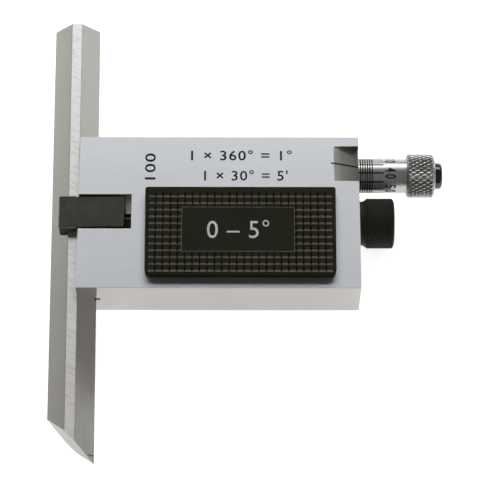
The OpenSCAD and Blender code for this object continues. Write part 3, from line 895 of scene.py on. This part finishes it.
# Clamp knob and its thrust ring
knobSpec = {
    "around": 48,
    "pitch": 1.15,
    "radius": 5.3,
    "depth": 0.15,
    "slope": 0.1,
    "crown": (0.08, 0.03),
    "lean": 0.54,
    "stretch": 0.15,
    "band": (26.62, 32.15),
    "leftEnd": [(26.1, 4.8), (26.1, 3.51), (31.11, 3.51), (31.11, 0)],
    "rightEnd": [(32.38, 4.98), (32.48, 4.6), (32.56, 2.6), (32.6, 0)],
    "through": False,
    # the grooves are coloured a little darker than the lands: painted shade
    "groove": {"metal": 0, "gloss": 0.2, "dark": (0.0110, 0.0102, 0.0058),
               "light": (0.0172, 0.016, 0.0095), "rough": (0.45, 0.6), "grain": (3600, 3600, 3600),
               "cloud": (300, 300, 300), "grainBump": 0.002, "cloudBump": 0.003},
    "land": {"metal": 0, "gloss": 0.25, "dark": (0.0138, 0.0128, 0.0076),
             "light": (0.0225, 0.021, 0.0128), "rough": (0.4, 0.55), "grain": (3600, 3600, 3600),
             "cloud": (300, 300, 300), "grainBump": 0.001, "cloudBump": 0.003},
}
knobGroove = layeredFinish("knobGroove", knobSpec["groove"])
knobLand = layeredFinish("knobLand", knobSpec["land"])
knobAxis = axisOf("clamp_knob")
savePiece(knurledShell(knobSpec, knobAxis), "knob_knurled", [knobGroove, knobLand], "knob",
          ["clamp_knob"])

ringSpec = {
    "bore": 3.54,
    "edge": 0.12,
    "neckFrom": 0.4,  # from the stock's side
    "neckTo": 0.25,   # from the knob's side
    "neckDeep": 0.1,
    "rim": 0.02,
    "steps": 72,
}


def buildThrustRing(spec):
    low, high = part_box("knob_thrust_ring")
    radius = (high.z - low.z) / 2 / mm
    startX = low.x / mm
    endX = high.x / mm
    neck = radius - spec["neckDeep"]
    outline = [(startX, spec["bore"]), (startX, radius - spec["edge"]), (startX + spec["edge"], radius),
               (startX + spec["neckFrom"], neck), (endX - spec["neckTo"], neck),
               (endX, radius - spec["rim"]), (endX, spec["bore"])]
    bm = lathe(outline, knobAxis, spec["steps"])
    savePiece(bm, "thrust_ring_dressed", [knobGroove], "thrust_ring",
              ["knob_thrust_ring"])


buildThrustRing(ringSpec)

# Draw spring: round wire on a helix
springSpec = {
    "wire": 0.7,
    "wireSides": 12,
    "meanRadius": 2.7,
    "turns": 6,
    "steps": 24,
    "seatX": 13.1,   # bottom of its bore
    "keep": 0.862,   # share of its length left at the rod's limit
    "drawn": {"metal": 1, "dark": (0.30, 0.30, 0.31), "light": (0.46, 0.46, 0.47),
              "rough": (0.22, 0.36), "grain": (1800, 1800, 1800), "cloud": (300, 300, 300),
              "grainBump": 0.001, "cloudBump": 0.002},
}
springWire = layeredFinish("springWire", springSpec["drawn"])


def buildSpring(spec):
    low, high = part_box("draw_spring")
    axisPoint = axisOf("draw_rod")
    wire = spec["wire"] / 2 * mm
    steps = spec["turns"] * spec["steps"]
    travel = high.x - low.x - 2 * wire
    bm = bmesh.new()
    made = bmesh.ops.create_circle(bm, cap_ends=True, segments=spec["wireSides"], radius=wire)["verts"]
    turnShape(bm, math.radians(90), "X", made)
    first = Vector((low.x + wire, axisPoint.y, axisPoint.z + spec["meanRadius"] * mm))
    bmesh.ops.translate(bm, vec=first, verts=made)
    bmesh.ops.spin(bm, geom=bm.verts[:] + bm.edges[:] + bm.faces[:], cent=axisPoint, axis=(1, 0, 0),
                   dvec=(travel / steps, 0, 0), angle=2 * math.pi * spec["turns"], steps=steps)
    closeShell(bm)
    spring = savePiece(bm, "spring_wound", [springWire], "stock", ["draw_spring"],
                       crease=60)
    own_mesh(spring)


buildSpring(springSpec)

# Inner parts keep their CAD shape and get turned steel or blackened finishes; the draw rod gets a dark
# colour as painted shade
innerSpec = {
    "turned": {"metal": 1, "dark": (0.46, 0.46, 0.47), "light": (0.60, 0.60, 0.60),
               "rough": (0.14, 0.22), "grain": (3000, 300, 300), "cloud": (200, 200, 200),
               "grainBump": 0.0008, "cloudBump": 0.002},
    "screw": {"metal": 0.7, "dark": (0.020, 0.020, 0.019), "light": (0.045, 0.045, 0.042),
              "rough": (0.3, 0.48), "grain": (2600, 2600, 2600), "cloud": (400, 400, 400),
              "grainBump": 0.001, "cloudBump": 0.003},
    # painted shade: the draw rod inside the slot is coloured dark
    "rodShade": {"metal": 1, "dark": (0.07, 0.068, 0.06), "light": (0.13, 0.125, 0.11),
              "rough": (0.3, 0.4), "grain": (3000, 300, 300), "cloud": (200, 200, 200),
              "grainBump": 0.0008, "cloudBump": 0.002},
    "turnedNodes": ["spindle_bush", "adjusting_nut", "yoke_pin", "thrust_shoe", "thrust_ball",
                    "spindle", "knob_insert"],
    "rodShadeNodes": ["draw_rod"],
    "screwNodes": ["bush_lock_screw", "shoe_guide_screw"],
}
turnedSteel = layeredFinish("turnedSteel", innerSpec["turned"])
rodShadeSteel = layeredFinish("rodShadeSteel", innerSpec["rodShade"])
screwBlack = layeredFinish("screwBlack", innerSpec["screw"])
innerGroups = {"turnedNodes": turnedSteel, "rodShadeNodes": rodShadeSteel, "screwNodes": screwBlack}
for group, finish in innerGroups.items():
    for node in innerSpec[group]:
        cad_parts[node].material_slots[0].material = finish
print("inner parts finished")

# Floor and studio light: a softbox behind the square, a dim room, and fills that only matt surfaces see
stageSpec = {
    "floorHalf": 3.0,  # metres
    "floorCells": 8,
    "floorDrop": 0.02,
    "paper": {"metal": 0, "dark": (0.86, 0.86, 0.86), "light": (0.90, 0.90, 0.90),
              "rough": (0.8, 0.9), "grain": (400, 400, 400), "cloud": (3, 3, 3), "grainBump": 0.002,
              "cloudBump": 0.0, "gloss": 0.1},
    "paperReach": 0.6,  # metres from the middle, the two fades go by it
    # painted pool of light round the middle: the paper glows there, and its colour darkens further out
    "paperGlow": [(0.12, 0.72), (0.2, 0.6), (0.4, 0.22), (0.6, 0.06), (0.8, 0.0)],
    "paperTone": [(0.2, 1.0), (1.0, 0.8)],
    # colours of the room by how far a direction points to the back: 0 is the front, 1 the back
    "horizon": [(0.0, (0.06, 0.055, 0.04)), (0.3, (0.16, 0.15, 0.12)), (0.5, (0.28, 0.27, 0.24)),
                (0.66, (0.44, 0.43, 0.40)), (0.75, (1.25, 1.24, 1.19)), (1.0, (0.4, 0.405, 0.42))],
    "ceiling": [(0.0, (0.10, 0.095, 0.08)), (0.3, (0.12, 0.115, 0.105)), (0.6, (0.035, 0.035, 0.035)),
                (0.8, (0.03, 0.03, 0.033)), (1.0, (0.3, 0.31, 0.33))],
    "skyBlend": (0.12, 0.5),  # how steep a direction is where the horizon ends and the ceiling begins
    "lights": [  # name, place in metres, size, radiance, aim, shows in reflections
        ("backSoftbox", (0.0, 1.465, 1.2), (1.9, 1.07), 4.1, (0.0, 1.465, 0.0), True),
        ("sideCard", (0.75, -0.32, 0.15), (0.5, 0.3), 0.45, (0.0, 0.0, 0.01), True),
        ("topFill", (0.0, 0.0, 2.0), (2.2, 2.2), 0.9, (0.0, 0.0, 0.0), False),
        ("frontFill", (0.0, -1.6, 1.1), (2.2, 1.0), 0.8, (0.0, 0.0, 0.0), False),
    ],
}
paperFloor = layeredFinish("paperFloor", stageSpec["paper"])


def addGlow(finish, spec):
    tree = finish.node_tree
    shader = tree.nodes["Principled BSDF"]
    coords = tree.nodes.new("ShaderNodeTexCoord")
    length = tree.nodes.new("ShaderNodeVectorMath")
    length.operation = "LENGTH"
    tree.links.new(coords.outputs["Object"], length.inputs[0])
    reach = addRange(tree, length.outputs["Value"], (0, spec["paperReach"]), (0, 1))
    glow = [(place, (value, value, value)) for place, value in spec["paperGlow"]]
    tone = [(place, (value, value, value)) for place, value in spec["paperTone"]]
    tree.links.new(addRamp(tree, reach, glow), shader.inputs["Emission Color"])
    shader.inputs["Emission Strength"].default_value = 1
    colour = shader.inputs["Base Color"].links[0].from_socket
    tree.links.new(addFade(tree, colour, reach, tone), shader.inputs["Base Color"])


addGlow(paperFloor, stageSpec)


def buildSky(spec):
    world = bpy.data.worlds.new("studioSky")
    scene.world = world
    world.use_nodes = True
    tree = world.node_tree
    coords = tree.nodes.new("ShaderNodeTexCoord")
    parts = tree.nodes.new("ShaderNodeSeparateXYZ")
    tree.links.new(coords.outputs["Generated"], parts.inputs[0])
    backward = addRange(tree, parts.outputs["Y"], (-1, 1), (0, 1))
    mix = tree.nodes.new("ShaderNodeMixRGB")
    tree.links.new(addRange(tree, parts.outputs["Z"], spec["skyBlend"], (0, 1)), mix.inputs["Fac"])
    tree.links.new(addRamp(tree, backward, spec["horizon"]), mix.inputs["Color1"])
    tree.links.new(addRamp(tree, backward, spec["ceiling"]), mix.inputs["Color2"])
    tree.links.new(mix.outputs["Color"], tree.nodes["Background"].inputs["Color"])


def buildStage(spec):
    bm = bmesh.new()
    cells = spec["floorCells"]
    bmesh.ops.create_grid(bm, x_segments=cells, y_segments=cells, size=spec["floorHalf"])
    bmesh.ops.translate(bm, vec=(0, 0, -spec["floorDrop"] * mm), verts=bm.verts)
    mesh = bpy.data.meshes.new("floor")
    bm.to_mesh(mesh)
    bm.free()
    mesh.materials.append(paperFloor)
    floor = bpy.data.objects.new("floor", mesh)
    scene.collection.objects.link(floor)
    for name, place, size, radiance, aim, mirrored in spec["lights"]:
        data = bpy.data.lights.new(name, "AREA")
        data.shape = "RECTANGLE"
        data.size, data.size_y = size
        data.energy = radiance * math.pi * size[0] * size[1]
        light = bpy.data.objects.new(name, data)
        light.location = place
        light.rotation_euler = (Vector(place) - Vector(aim)).to_track_quat("Z", "Y").to_euler()
        light.visible_glossy = mirrored
        scene.collection.objects.link(light)


buildSky(stageSpec)
buildStage(stageSpec)
print("stage lit")
